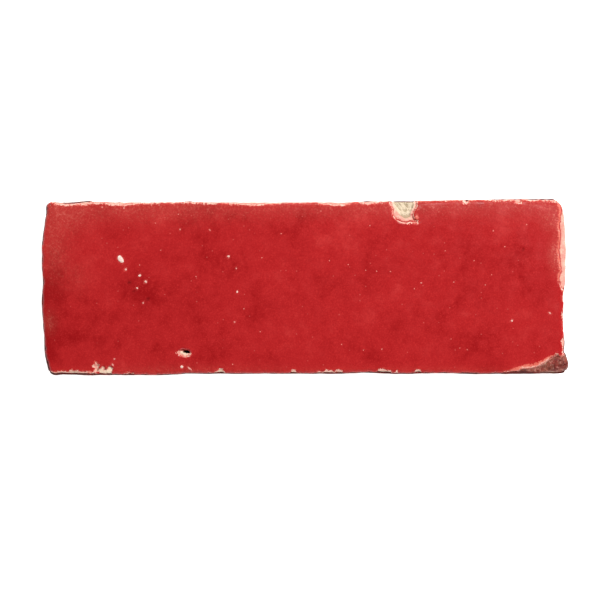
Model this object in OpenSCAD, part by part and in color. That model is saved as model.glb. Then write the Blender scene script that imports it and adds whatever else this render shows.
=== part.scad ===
// A hand-cut glazed clay brick tile: a red glass glaze over a pale slip on a fired clay body.
// The origin is the middle of the bedding face. +X runs along the tile, +Y across it, and
// +Z out of the glazed face. The coats lie on each other face to face, and nothing moves.

/* [Tile] */
// Length over the glazed sides
tile_length = 150; // [120:5:200]
// Width over the glazed sides
tile_width = 50; // [45:1:70]
// Thickness from the bedding face to the glazed face
tile_thickness = 15; // [12:0.5:20]

/* [Coats] */
// Thickness of the pale slip under the red glaze
slip_thickness = 0.4; // [0.3:0.1:0.6]
// Thickness of the red glaze on the face
glaze_thickness = 0.6; // [0.4:0.1:0.8]
// Thickness of the dark glaze on the sides and on the broken corner
film_thickness = 0.5; // [0.3:0.1:0.6]
// Bare clay left between the rim of the body and the slip
slip_margin = 0.1; // [0.1:0.1:0.3]
// Bare clay left between the rim of the body and the red glaze
glaze_margin = 0.2; // [0.2:0.1:0.6]

/* [Drips] */
// Depth of the glazed band on the sides, down from the rim
band_depth = 3; // [2:0.5:4]
// Gap between the rim and the top of that band, worn to bare clay
rim_gap = 0.4; // [0.2:0.1:0.8]

/* [Damage] */
// Slope of the broken corner, down from the face
break_slope = 40; // [25:1:45]
// Radius of the ball that fits the hollow of the edge chip
scoop_radius = 8; // [6:0.5:12]
// Depth of that hollow in the body
scoop_depth = 0.9; // [0.4:0.1:1.5]
// Depth of the pit in the body
pit_depth = 1.6; // [0.5:0.1:3]
// How far the grains stop short of the face of the glaze
grain_recess = 0.1; // [0:0.05:0.2]

/* [Hidden] */

half_length = tile_length / 2;
half_width = tile_width / 2;
body_top = tile_thickness - slip_thickness - glaze_thickness;
slip_top = tile_thickness - glaze_thickness;
band_top = body_top - rim_gap;

// Longer than any tile here, for solids that only cut or bound another
reach = 300;

// The damage and the grains are placed on a tile of this size, then spread over the real one
drawn_length = 150;
drawn_width = 50;
function at(p) = [p.x * tile_length / drawn_length, p.y * tile_width / drawn_width];

// The four sides, hand cut and not quite straight.
// Each point is [place along the side from -1 to 1, how far the side falls inside the box].
FRONT = [
    [-0.955, 0.3], [-0.84, 0], [-0.55, 0], [-0.45, 0.4], [0.13, 0.4], [0.23, 0.7],
    [0.38, 0.3], [0.53, 0.6], [0.65, 0.3], [0.88, 0.4], [0.955, 0.5],
    [0.977, 0.9],
];
BACK = [
    [-0.97, 1.1], [-0.9, 1], [-0.82, 0.5], [-0.72, 0.8], [-0.5, 0.8], [-0.44, 0.5],
    [-0.36, 0.8], [0.15, 0.8], [0.24, 0.5], [0.48, 0.5], [0.56, 0.2], [0.7, 0.2],
    [0.78, 0], [0.9, 0], [0.95, 0.4],
];
LEFT = [
    [-0.94, 2.2], [-0.78, 0.9], [-0.52, 0.6], [-0.3, 0.2], [-0.14, 0], [0, 0.3], [0.1, 0.3],
    [0.26, 0], [0.47, 0], [0.6, 0.4], [0.76, 1], [0.88, 1.6],
];
RIGHT = [
    [-0.93, 0.4], [-0.88, 0], [-0.79, 0.2], [-0.75, 1.1], [-0.64, 0.8], [-0.48, 1.2],
    [-0.06, 1.1], [0.04, 0.6], [0.4, 0.4], [0.79, 0.8], [0.89, 1.5],
];

function front_line(inset) = [for (p = FRONT) [p[0] * half_length, -half_width + p[1] + inset]];
function back_line(inset) = [for (p = BACK) [p[0] * half_length, half_width - p[1] - inset]];
function left_line(inset) = [for (p = LEFT) [-half_length + p[1] + inset, p[0] * half_width]];
function right_line(inset) = [for (p = RIGHT) [half_length - p[1] - inset, p[0] * half_width]];
function backwards(line) = [for (i = [len(line) - 1:-1:0]) line[i]];

// The whole outline, moved inwards by inset on every side, its worn corners cut straight across
function outline(inset) = concat(
    front_line(inset),
    right_line(inset),
    backwards(back_line(inset)),
    backwards(left_line(inset))
);

// The chip in the back edge, where the red glaze has come away
CHIP_GLAZE = [
    [23.4, 26], [23.5, 24.6], [24.5, 23.6], [25, 22.4], [25.3, 20.6], [26.3, 19.1], [28, 18.3],
    [30.2, 18.6], [32, 18.2], [32.2, 18.8], [31.2, 19.6], [30.7, 20.6], [31.1, 21.6], [31.9, 22.6],
    [31.9, 26],
];
// Its smaller core, where the slip has gone too
CHIP_SLIP = [
    [25.2, 26], [25.4, 24.2], [26.2, 22], [27, 20.4], [28.6, 19.5], [30, 19.9], [30.1, 21.2],
    [31, 23], [31.2, 26],
];
CHIP_CENTRE = [28.5, 24];

// Glaze lost along the front edge, near the left end
FRONT_PATCH = [
    [-58.6, -26], [-58.7, -24.4], [-59.5, -23.4], [-60.1, -22.6], [-59.4, -21.7], [-58.8, -22.1],
    [-58.4, -22.8], [-57.8, -23.1], [-57.3, -22.7], [-56.9, -23.5], [-56.4, -23.4], [-56.1, -22.7],
    [-55.4, -22.4], [-54.8, -23.3], [-54.7, -26],
];

// Glaze rubbed off the right end
RIGHT_WEAR = [
    [76, 21], [72.8, 21], [72.4, 17], [72.8, 14], [72.4, 10], [73, 4.5], [72.4, 3],
    [72.6, 1], [73.4, -1], [76, -1],
];

// The corner where glaze and slip broke away, from the front edge round to the right end
CORNER_LOSS = [
    [59, -26], [59, -24.5], [62, -23.2], [65, -23], [68, -21.8], [70.5, -20], [72, -19.2],
    [73, -19.8], [74, -19], [76, -19.4], [76, -26],
];
// The slip reaches this much further out over the break than the glaze
SLIP_LIP = [0.2, -0.3];
// The line on the top of the body where its own break starts
BREAK_FROM = at([60, -25.2]);
BREAK_TO = at([75.5, -20.6]);

// Short nicks in the rim of the glaze: [x, side (1 back, -1 front), length, depth inwards]
NICKS = [
    [-69, 1, 7, 0.4], [-62, 1, 5, 0.5], [-57, 1, 4, 0.3], [-11, 1, 10, 0.3], [18, 1, 5, 0.3],
    [46, 1, 1.5, 0.3], [61, 1, 2, 0.4], [-66, -1, 7, 0.5], [-50, -1, 2, 0.4], [-24, -1, 2, 0.5],
    [-3, -1, 2, 0.3], [4, -1, 1.5, 0.4], [8, -1, 2, 0.4], [23, -1, 2, 0.4], [26, -1, 1.5, 0.3],
    [32, -1, 2, 0.4],
];

// The open pit in the face, and the wider hole in the glaze round it
PIT = [
    [-34.9, -18.4], [-34.4, -18.1], [-33.2, -18.1], [-32.7, -18.5], [-32.8, -18.9],
    [-33.4, -18.9], [-34.5, -18.8],
];
PIT_GLAZE = [
    [-36.1, -18.4], [-35.6, -18], [-34.5, -17.8], [-33.2, -17.9], [-32.5, -18.4], [-32.6, -19],
    [-33.2, -19.5], [-34.3, -19.7], [-35.5, -19.3],
];

// Pale grains that stand in the glaze: [x, y, width]
GRAINS = [
    [-51, 5, 0.6], [-47, 6.3, 0.4], [-47, 3.3, 0.7], [-45.3, 1.5, 0.7], [-47.7, -0.3, 0.6],
    [-46, -4.5, 0.5], [-51.5, 22.5, 0.5], [-57.7, 22.7, 0.5], [-42.5, 18.2, 0.4],
    [-36, 20.7, 0.4], [-35.5, 16.4, 0.5], [-41, 10.5, 0.4], [-31, 3, 0.4], [-35, -22.7, 0.8],
    [-54.2, -20.5, 0.5], [-21.7, 8.7, 0.7], [-19.5, 5.3, 0.5], [-19.2, -1.4, 0.6],
    [-20, -10, 0.5], [-20.5, -22, 0.4], [-17.3, -6.2, 0.4], [-12.7, -12.7, 0.4],
    [-12.2, 8.3, 0.4], [-6.7, 15.2, 0.4], [4.6, 21.6, 0.4], [7, 7.5, 0.4], [12.4, 6.4, 0.4],
    [18.6, 17.5, 0.4], [17.4, 4.8, 0.4], [20.5, 4.5, 0.4], [24.4, 4.4, 0.4], [10.5, -16.3, 0.4],
    [16.7, -18, 0.4], [22, -17.7, 0.4], [31.2, -0.5, 0.4], [33.2, 1.2, 0.5], [40, 10.3, 0.4],
    [42.4, 1.4, 0.4], [41.7, -14.8, 0.4], [44.2, -17.4, 0.4], [46.3, -17.8, 0.4],
    [48.2, 7.5, 0.4], [51.4, 0.6, 0.4], [53.2, 3.5, 0.4], [53.7, 16, 0.4], [57, 11.5, 0.4],
    [63.2, 17.8, 0.4], [59, -9.6, 0.6],
];
// Long grains: [x, y, width, length, turn in degrees]
LONG_GRAINS = [
    [-52.4, 7.9, 1.3, 2.3, -55], [-32.8, -23.2, 0.5, 1.5, -40], [-36.7, -18.8, 0.4, 1.1, -65],
    [-54.7, -22.1, 0.5, 0.9, -60], [-27, 16.2, 0.4, 0.9, -50], [69.8, -7.4, 0.5, 1, -30],
];
grain_sides = 7;

// The runs below the band on each side: [place along the side from -1 to 1, drop, width]
DRIPS_FRONT = [
    [-0.86, 1, 12], [-0.58, 3.8, 3.5], [-0.5, 1.6, 6], [-0.2, 2.4, 4.5], [0.04, 0.8, 14],
    [0.3, 4.2, 3], [0.36, 2, 5], [0.6, 1.2, 9], [0.72, 3.2, 4],
];
DRIPS_BACK = [
    [-0.84, 2.8, 4], [-0.62, 1, 11], [-0.4, 4, 3.5], [-0.33, 2, 6], [-0.02, 1.4, 8],
    [0.2, 3.4, 3], [0.5, 0.8, 13], [0.76, 2.6, 5],
];
DRIPS_LEFT = [[-0.55, 2.8, 3.5], [-0.3, 1.2, 7], [0.5, 3.6, 3], [0.66, 1.6, 6]];
DRIPS_RIGHT = [[-0.5, 1.2, 8], [-0.05, 3.6, 3.5], [0.12, 1.8, 5], [0.7, 1, 7]];

// Everything above the slope of the broken corner, lifted straight off it by lift
module above_break(lift, thickness) {
    run = BREAK_TO - BREAK_FROM;
    translate([BREAK_FROM.x, BREAK_FROM.y, body_top])
        rotate([break_slope, 0, atan2(run.y, run.x)])
            translate([-reach / 2, -reach / 2, lift])
                cube([reach, reach, thickness]);
}

// A flat plate of one coat, with the places where that coat has come away cut through it
module coat_plate(from, thickness, inset) {
    translate([0, 0, from])
        linear_extrude(height = thickness)
            difference() {
                polygon(outline(inset));
                children();
            }
}

module drawn_hole(points) {
    polygon([for (p = points) at(p)]);
}

module grain_places() {
    for (g = GRAINS)
        translate(at(g))
            circle(d = g[2], $fn = grain_sides);
    for (g = LONG_GRAINS)
        translate(at(g))
            rotate(g[4])
                scale([g[3] / g[2], 1])
                    circle(d = g[2], $fn = grain_sides);
}

// An eight-sided bite out of the rim, centred on the edge
module nick(n) {
    centre = [at([n[0], 0]).x, n[1] * (half_width - film_thickness - glaze_margin)];
    polygon([for (a = [0:45:315]) centre + [n[2] / 2 * cos(a), n[3] * sin(a)]]);
}

// The front view of a glazed side: an even band with round-ended runs below it.
// It is drawn flat, x along the side and y up from the bedding face.
module run_shape(drips, half_side) {
    band_foot = band_top - band_depth;
    intersection() {
        translate([-half_side, 0])
            square([2 * half_side, band_top]);
        union() {
            translate([-half_side, band_foot])
                square([2 * half_side, band_depth]);
            for (d = drips)
                translate([d[0] * half_side, band_foot - d[1] + d[2] / 2]) {
                    translate([-d[2] / 2, 0])
                        square([d[2], d[1]]);
                    circle(d = d[2], $fn = 48);
                }
        }
    }
}

// A thin wall between two lines along one side, cut to the shape of its band and runs.
// The shape is stood up square to the side, which turn says.
module film(outer, inner, drips, half_side, turn) {
    color([0.34, 0.05, 0.04])
        difference() {
            intersection() {
                linear_extrude(height = body_top)
                    polygon(concat(outer, backwards(inner)));
                rotate([90, 0, turn])
                    translate([0, 0, -reach / 2])
                        linear_extrude(height = reach)
                            run_shape(drips, half_side);
            }
            above_break(0, reach);
        }
}

module clay_biscuit() {
    color([0.72, 0.55, 0.42])
        difference() {
            linear_extrude(height = body_top)
                polygon(outline(film_thickness));
            above_break(0, reach);
            translate([at(CHIP_CENTRE).x, at(CHIP_CENTRE).y, body_top - scoop_depth + scoop_radius])
                sphere(r = scoop_radius, $fn = 96);
            translate([0, 0, body_top - pit_depth])
                linear_extrude(height = 2 * pit_depth)
                    drawn_hole(PIT);
        }
}

module slip_coat() {
    color([0.9, 0.78, 0.66])
        coat_plate(body_top, slip_thickness, film_thickness + slip_margin) {
            drawn_hole(CHIP_SLIP);
            drawn_hole(PIT);
            translate(SLIP_LIP)
                drawn_hole(CORNER_LOSS);
            grain_places();
        }
}

module face_glaze() {
    color([0.72, 0.1, 0.1])
        coat_plate(slip_top, glaze_thickness, film_thickness + glaze_margin) {
            drawn_hole(CHIP_GLAZE);
            drawn_hole(PIT_GLAZE);
            drawn_hole(FRONT_PATCH);
            drawn_hole(RIGHT_WEAR);
            drawn_hole(CORNER_LOSS);
            for (n = NICKS)
                nick(n);
            grain_places();
        }
}

// The thin dark glaze that ran over the broken corner before the firing
module corner_glaze() {
    color([0.45, 0.16, 0.13])
        intersection() {
            linear_extrude(height = body_top)
                polygon(outline(0));
            above_break(0, film_thickness);
        }
}

module side_glaze_front() {
    film(front_line(0), front_line(film_thickness), DRIPS_FRONT, half_length, 0);
}

module side_glaze_back() {
    film(back_line(0), back_line(film_thickness), DRIPS_BACK, half_length, 0);
}

module side_glaze_left() {
    film(left_line(0), left_line(film_thickness), DRIPS_LEFT, half_width, 90);
}

module side_glaze_right() {
    film(right_line(0), right_line(film_thickness), DRIPS_RIGHT, half_width, 90);
}

module lime_grains() {
    color([0.95, 0.86, 0.78])
        translate([0, 0, body_top])
            linear_extrude(height = slip_thickness + glaze_thickness - grain_recess)
                grain_places();
}

clay_biscuit();
slip_coat();
face_glaze();
corner_glaze();
side_glaze_front();
side_glaze_back();
side_glaze_left();
side_glaze_right();
lime_grains();
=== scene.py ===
"""A hand-cut glazed clay brick tile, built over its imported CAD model.

The clay body is one closed grid: a cap, an arris, four sides and a bedding face. The coats are thin
closed sheets over parts of the same grid. The CAD nodes say where each coat has come away, where the
drips hang, how the corner is broken and where the grains stand. Seeded noise makes the rims ragged.
Everything is in metres, in the frame of the CAD model.
"""

import math

import bmesh
import bpy
import numpy as np
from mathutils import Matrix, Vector


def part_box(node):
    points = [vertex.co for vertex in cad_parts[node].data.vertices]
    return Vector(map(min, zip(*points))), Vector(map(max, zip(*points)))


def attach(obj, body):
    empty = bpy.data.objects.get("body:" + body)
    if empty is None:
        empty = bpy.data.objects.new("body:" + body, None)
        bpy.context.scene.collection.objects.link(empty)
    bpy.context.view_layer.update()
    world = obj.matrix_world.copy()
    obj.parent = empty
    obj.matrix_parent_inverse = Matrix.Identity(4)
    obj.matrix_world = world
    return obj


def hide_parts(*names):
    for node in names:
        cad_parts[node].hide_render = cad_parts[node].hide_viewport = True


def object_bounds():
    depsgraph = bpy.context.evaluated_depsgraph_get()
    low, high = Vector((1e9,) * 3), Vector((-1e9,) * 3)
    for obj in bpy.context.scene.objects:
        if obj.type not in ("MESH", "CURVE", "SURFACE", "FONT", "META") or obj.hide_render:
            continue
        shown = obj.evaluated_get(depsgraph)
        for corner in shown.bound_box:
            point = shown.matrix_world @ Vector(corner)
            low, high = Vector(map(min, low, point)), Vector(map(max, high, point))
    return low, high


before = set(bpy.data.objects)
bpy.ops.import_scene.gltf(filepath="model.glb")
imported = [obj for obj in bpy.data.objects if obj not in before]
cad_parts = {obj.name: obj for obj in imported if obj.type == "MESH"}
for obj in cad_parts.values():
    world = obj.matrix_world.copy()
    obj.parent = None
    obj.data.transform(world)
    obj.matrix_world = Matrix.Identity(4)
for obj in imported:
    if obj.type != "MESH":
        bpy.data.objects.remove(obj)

MM = 0.001
CAD_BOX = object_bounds()

# The driving sizes, all taken from the CAD nodes' own boxes
BODY_LOW, BODY_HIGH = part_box("clay_biscuit")
SLIP_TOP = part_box("slip_coat")[1].z
GLAZE_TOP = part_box("face_glaze")[1].z
BODY_TOP = BODY_HIGH.z
HALF_LENGTH = (CAD_BOX[1][0] - CAD_BOX[0][0]) / 2
HALF_WIDTH = (CAD_BOX[1][1] - CAD_BOX[0][1]) / 2
SLIP_DEPTH = SLIP_TOP - BODY_TOP
GLAZE_DEPTH = GLAZE_TOP - SLIP_TOP
FILM_DEPTH = HALF_WIDTH - BODY_HIGH.y
# How far the dark glaze stands out where it is full
DARK_RISE = 0.9 * FILM_DEPTH

# The grid
COARSE = 0.5 * MM
FINE = 0.32 * MM
FINE_REACH = 0.8 * MM
ARRIS = 0.7 * MM
FOOT = 0.5 * MM
ARRIS_RINGS = 6
FOOT_RINGS = 3
SIDE_STEP = 0.45 * MM
# The hand-cut outline stands this far outside the CAD body, under a film of glaze
SWELL = 0.3 * MM
# It stands further out at the corners: front left, front right, back right and back left
CORNER_SWELL = (0.35 * MM, 0.7 * MM, 0.6 * MM, 0.5 * MM)

FRONT, RIGHT, BACK, LEFT = range(4)
CORNER_SIGNS = np.array([(-1, -1), (1, -1), (1, 1), (-1, 1)])
SIDE_NODES = ("side_glaze_front", "side_glaze_right", "side_glaze_back", "side_glaze_left")
SIDE_FACING = (Vector((0, -1, 0)), Vector((1, 0, 0)), Vector((0, 1, 0)), Vector((-1, 0, 0)))


# ---------------------------------------------------------------- noise

TABLES = {}
TABLE_SIZE = 32
TURN = np.array([[0.36, 0.48, -0.8], [-0.8, 0.6, 0.0], [0.48, 0.64, 0.6]])


def noise(points, size, seed):
    """Smooth noise from -1 to 1 that varies over about size metres, the same for each seed."""
    if seed not in TABLES:
        TABLES[seed] = np.random.default_rng(seed).random((TABLE_SIZE,) * 3)
    table = TABLES[seed]
    place = points @ TURN.T / size
    cell = np.floor(place).astype(int)
    share = place - cell
    share = share * share * (3 - 2 * share)
    total = np.zeros(len(points))
    for corner in np.ndindex(2, 2, 2):
        index = (cell + corner) % TABLE_SIZE
        weight = np.prod(np.where(corner, share, 1 - share), axis=1)
        total += weight * table[index[:, 0], index[:, 1], index[:, 2]]
    return 2 * total - 1


def rough(points, size, seed, octaves=3):
    """Noise with finer and weaker noise on top of it."""
    total = sum(noise(points, size / 2**i, seed + i) / 2**i for i in range(octaves))
    return total / 1.5


def smooth_step(value, low, high):
    share = np.clip((value - low) / (high - low), 0, 1)
    return share * share * (3 - 2 * share)


def flat(points):
    """2-D points as 3-D ones, for the noise."""
    return np.column_stack([points, np.zeros(len(points))])


# ---------------------------------------------------------------- outlines of the CAD nodes


def rim(node, facing):
    """The rim of a CAD node's faces that look along facing, as segments of two 3-D points."""
    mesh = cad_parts[node].data
    points = np.array([v.co for v in mesh.vertices])
    points, weld = np.unique(np.round(points, 7), axis=0, return_inverse=True)
    weld = weld.ravel()
    edges = set()
    for face in mesh.polygons:
        if face.normal.dot(facing) < 0.7:
            continue
        corners = [int(weld[v]) for v in face.vertices]
        for a, b in zip(corners, corners[1:] + corners[:1]):
            if (b, a) in edges:
                edges.remove((b, a))
            else:
                edges.add((a, b))
    return points[np.array(sorted(edges))]


def loops(segments):
    """A rim's closed outlines, each an array of points in order."""
    following = {tuple(a): tuple(b) for a, b in segments}
    found = []
    while following:
        first, point = following.popitem()
        loop = [first]
        while point != first:
            loop.append(point)
            point = following.pop(point)
        found.append(np.array(loop))
    return found


def closest(points, segments):
    """Distance from each 2-D point to the nearest segment."""
    best = np.full(len(points), np.inf)
    for a, b in segments:
        run = b - a
        share = np.clip(((points - a) @ run) / max(run @ run, 1e-18), 0, 1)
        gap = points - a - share[:, None] * run
        best = np.minimum(best, (gap * gap).sum(axis=1))
    return np.sqrt(best)


def within(points, segments):
    """Which 2-D points the rim goes round."""
    inside = np.zeros(len(points), bool)
    for a, b in segments:
        if a[1] == b[1]:
            continue
        crosses = (a[1] > points[:, 1]) != (b[1] > points[:, 1])
        x_at = a[0] + (points[:, 1] - a[1]) * (b[0] - a[0]) / (b[1] - a[1])
        inside ^= crosses & (points[:, 0] < x_at)
    return inside


def coat_rims(node, body_rim):
    """A coat's rim in plan, as all its segments and those that are damage and not its plain edge.
    The small holes that let a grain through are left out."""
    outlines = [ring[:, :2] for ring in loops(rim(node, Vector((0, 0, 1))))]
    holes = [np.stack([ring, np.roll(ring, -1, axis=0)], axis=1) for ring in outlines]
    small = 3 * MM
    segments = np.vstack([
        h for ring, h in zip(outlines, holes)
        if np.ptp(ring, axis=0).max() > small or not within(GRAIN_PLACES, h).any()
    ])
    gaps = closest(segments.reshape(-1, 2), body_rim).reshape(-1, 2)
    margin = np.median(gaps.max(axis=1)[gaps.max(axis=1) < MM])
    damage = segments[gaps.max(axis=1) > margin + 0.05 * MM]
    return segments, damage


def read_grains():
    """Each grain in plan: its middle, its half width and half length, and the way it lies."""
    grains = []
    for ring in loops(rim("lime_grains", Vector((0, 0, 1)))[:, :, :2]):
        middle = ring.mean(axis=0)
        spread, ways = np.linalg.eigh(np.cov((ring - middle).T, bias=True))
        half_width, half_length = np.sqrt(2 * spread)
        grains.append((*middle, half_width, half_length, math.atan2(ways[1, 1], ways[0, 1])))
    return sorted(grains)


BODY_RIM = rim("clay_biscuit", Vector((0, 0, -1)))[:, :, :2]
GRAINS = read_grains()
GRAIN_PLACES = np.array(GRAINS)[:, :2]
GLAZE_RIM, GLAZE_DAMAGE = coat_rims("face_glaze", BODY_RIM)
SLIP_RIM, SLIP_DAMAGE = coat_rims("slip_coat", BODY_RIM)


# ---------------------------------------------------------------- the grid


def soft_outline():
    """The body's outline, close and even points with rounded corners and a hand-cut wobble."""
    step = 0.2 * MM
    round_off = 0.5 * MM
    corners = loops(BODY_RIM)[0][::-1]
    closed = np.vstack([corners, corners[:1]])
    along = np.concatenate([[0], np.cumsum(np.linalg.norm(np.diff(closed, axis=0), axis=1))])
    count = int(along[-1] / step)
    places = np.arange(count) * along[-1] / count
    points = np.column_stack([np.interp(places, along, closed[:, i]) for i in (0, 1)])
    waves = np.fft.fftfreq(count, along[-1] / count)
    keep = np.exp(-2 * (math.pi * waves * round_off) ** 2)[:, None]
    points = np.fft.ifft(np.fft.fft(points, axis=0) * keep, axis=0).real
    wobble = SWELL + 0.12 * MM * rough(flat(points), 2.5 * MM, 11, 4)
    for sign, swell in zip(CORNER_SIGNS, CORNER_SWELL):
        corner = points[np.argmax(points @ sign)]
        away = np.linalg.norm(points - corner, axis=1)
        wobble += swell * np.exp(-((away / (2.2 * MM)) ** 2))
    return points + outward(points) * wobble[:, None]


def outward(points):
    """The outward direction at each point of a closed outline that runs anticlockwise."""
    run = np.roll(points, -1, axis=0) - np.roll(points, 1, axis=0)
    out = np.column_stack([run[:, 1], -run[:, 0]])
    return out / np.linalg.norm(out, axis=1)[:, None]


def side_places(line, shares):
    """Points at the given shares of a line's length."""
    along = np.concatenate([[0], np.cumsum(np.linalg.norm(np.diff(line, axis=0), axis=1))])
    return np.column_stack([np.interp(shares * along[-1], along, line[:, i]) for i in (0, 1)])


def grid_shares(axis, low, high):
    """Where the grid lines cross one axis, as shares from 0 to 1: closer where a rim crosses it."""
    big = closest(GLAZE_DAMAGE.mean(axis=1), BODY_RIM) > 1.1 * MM
    run = np.abs(GLAZE_DAMAGE[:, 1] - GLAZE_DAMAGE[:, 0])
    across = run[:, 1 - axis] > 0.5 * np.linalg.norm(run, axis=1)
    long_enough = np.linalg.norm(run, axis=1) > 0.6 * MM
    places = GLAZE_DAMAGE[big & across & long_enough][:, :, axis].ravel()
    fine = np.linspace(low, high, 3000)
    gap = np.abs(fine[:, None] - places[None]).min(axis=1)
    step = FINE + (COARSE - FINE) * smooth_step(gap, 0.5 * FINE_REACH, 2 * FINE_REACH)
    lines = np.concatenate([[0], np.cumsum(np.diff(fine) / ((step[1:] + step[:-1]) / 2))])
    count = 2 * int(round(lines[-1] / 2))
    return np.interp(np.linspace(0, lines[-1], count + 1), lines, (fine - low) / (high - low))


class Grid:
    """The body's whole surface as one grid. Its points come in this order: the cap, the rings down
    the arris, the sides and the foot, and last the bedding face at half the cap's spacing.

    plan: place in plan. inset: how far inside the outline. columns: the outline's points, one above
    each line of points down the sides. column: which of them a point is near, or -1.
    """

    def __init__(self):
        outline = soft_outline()
        out = outward(outline)
        us = grid_shares(0, BODY_LOW.x, BODY_HIGH.x)
        vs = grid_shares(1, BODY_LOW.y, BODY_HIGH.y)
        self.nx, self.ny = len(us) - 1, len(vs) - 1
        corners = [int(np.argmax(outline @ sign)) for sign in CORNER_SIGNS]
        self.sides = self.column_lines(outline, out, corners, us, vs)
        self.columns = np.vstack([side[0][:-1] for side in self.sides])
        self.out = np.vstack([side[1][:-1] for side in self.sides])
        self.side_of = np.concatenate([np.full(len(s[0]) - 1, i) for i, s in enumerate(self.sides)])
        self.us, self.vs = us, vs
        self.place_points()
        self.join_faces()

    def column_lines(self, outline, out, corners, us, vs):
        """For each side its points on the outline and their outward directions, anticlockwise."""
        sides = []
        for i, shares in enumerate((us, vs, 1 - us[::-1], 1 - vs[::-1])):
            start, stop = corners[i], corners[(i + 1) % 4]
            span = np.arange(start, stop + 1 if stop > start else stop + len(outline) + 1)
            line, ways = outline[span % len(outline)], out[span % len(outline)]
            points = side_places(line, shares)
            index = np.clip(np.searchsorted(np.linspace(0, 1, len(span)), shares), 0, len(span) - 1)
            sides.append((points, ways[index]))
        return sides

    def cap(self, inset, us, vs, lines):
        """A grid inside the outline, its edges inset from it, blended from its four sides."""
        front, right, back, left = (p - inset * o for p, o in lines)
        back, left = back[::-1], left[::-1]
        u, v = us[:, None, None], vs[None, :, None]
        rows = (1 - v) * front[:, None] + v * back[:, None]
        rows = rows + (1 - u) * left[None] + u * right[None]
        near = (1 - u) * front[0] + u * front[-1]
        far = (1 - u) * back[0] + u * back[-1]
        return (rows - (1 - v) * near - v * far).reshape(-1, 2)

    def place_points(self):
        top = self.cap(ARRIS, self.us, self.vs, self.sides)
        half_lines = [(p[::2], o[::2]) for p, o in self.sides]
        base = self.cap(FOOT, self.us[::2], self.vs[::2], half_lines)
        count = len(self.columns)
        turns = np.arange(1, ARRIS_RINGS + 1) / ARRIS_RINGS * math.pi / 2
        side_rings = int(round((BODY_TOP - ARRIS - FOOT) / SIDE_STEP))
        foot_turns = np.arange(1, FOOT_RINGS + 1) / FOOT_RINGS * math.pi / 2
        insets = np.concatenate([
            ARRIS * (1 - np.sin(turns)),
            np.zeros(side_rings),
            FOOT * (1 - np.cos(foot_turns)),
        ])
        self.rings = len(insets)
        ring_plan = (self.columns[None] - insets[:, None, None] * self.out[None]).reshape(-1, 2)
        self.plan = np.vstack([top, ring_plan, base])
        self.on_cap = np.arange(len(top))
        self.ring_start = len(top)
        self.base_start = len(top) + len(ring_plan)
        cap_inset, cap_column = self.near_outline(top)
        edge = self.cap_edge()
        cap_inset[edge] = ARRIS
        self.inset = np.concatenate([cap_inset, np.repeat(insets, count), np.full(len(base), FOOT)])
        # Heights below the cap: a drop that follows the cap, or a share of the way to the foot
        self.drop = np.concatenate([ARRIS * (1 - np.cos(turns)), np.full(side_rings, ARRIS)])
        self.share = np.concatenate([np.zeros(ARRIS_RINGS), np.arange(1, side_rings + 1) / side_rings])
        self.foot_heights = FOOT * (1 - np.sin(foot_turns))
        self.turns = turns
        self.column_of = np.tile(np.arange(count), self.rings)
        nearest = np.full(len(self.plan), -1)
        nearest[self.on_cap] = cap_column
        nearest[edge] = np.arange(count)
        nearest[self.ring_start:self.base_start] = self.column_of
        self.column = nearest

    def near_outline(self, points):
        """How far inside the outline each point is, and its column if it is close to the outline."""
        reach = 4 * MM
        inset = closest(points, BODY_RIM) + SWELL
        column = np.full(len(points), -1)
        close = np.flatnonzero(inset < reach)
        for part in np.array_split(close, 40):
            away = np.linalg.norm(points[part, None] - self.columns[None], axis=2)
            column[part] = away.argmin(axis=1)
            inset[part] = away.min(axis=1)
        return inset, column

    def cap_index(self, i, j):
        return i * (self.ny + 1) + j

    def cap_edge(self):
        """The cap's edge points, one for each column, anticlockwise from the front left corner."""
        i, j = np.arange(self.nx), np.arange(self.ny)
        return np.concatenate([
            self.cap_index(i, 0),
            self.cap_index(self.nx, j),
            self.cap_index(self.nx - i, self.ny),
            self.cap_index(0, self.ny - j),
        ])

    def join_faces(self):
        count = len(self.columns)
        i, j = np.meshgrid(np.arange(self.nx), np.arange(self.ny), indexing="ij")
        cap = np.stack([
            self.cap_index(i, j), self.cap_index(i + 1, j),
            self.cap_index(i + 1, j + 1), self.cap_index(i, j + 1),
        ], axis=-1).reshape(-1, 4)
        levels = [self.cap_edge()]
        levels += [self.ring_start + r * count + np.arange(count) for r in range(self.rings)]
        strips = []
        for upper, lower in zip(levels, levels[1:]):
            after = np.roll(np.arange(count), -1)
            strips.append(np.stack([upper, lower, lower[after], upper[after]], axis=-1))
        self.levels = levels
        self.quads = np.vstack([cap] + strips)
        self.ring_quads = np.vstack(strips)
        self.upper_quads = np.vstack([cap] + strips[:ARRIS_RINGS + 4])
        self.base_faces()

    def base_faces(self):
        """The bedding face, and the five-sided faces that join it to the last ring."""
        hx, hy = self.nx // 2, self.ny // 2
        i, j = np.meshgrid(np.arange(hx), np.arange(hy), indexing="ij")

        def index(i, j):
            return self.base_start + i * (hy + 1) + j

        self.base = np.stack(
            [index(i, j), index(i, j + 1), index(i + 1, j + 1), index(i + 1, j)], axis=-1
        ).reshape(-1, 4)
        i, j = np.arange(hx), np.arange(hy)
        edge = np.concatenate([index(i, 0), index(hx, j), index(hx - i, hy), index(0, hy - j)])
        last = self.levels[-1]
        after = np.roll(edge, -1)
        self.joins = np.stack(
            [last[0::2], edge, after, np.roll(last, -2)[0::2], last[1::2]], axis=-1
        )


def vertex_normals(points, quads):
    a, b, c, d = (points[quads[:, i]] for i in range(4))
    facing = np.cross(c - a, d - b)
    total = np.zeros_like(points)
    for i in range(4):
        np.add.at(total, quads[:, i], facing)
    return total / np.maximum(np.linalg.norm(total, axis=1), 1e-18)[:, None]


GRID = Grid()
PLAN3 = flat(GRID.plan)


# ---------------------------------------------------------------- the shape under the coats


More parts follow.
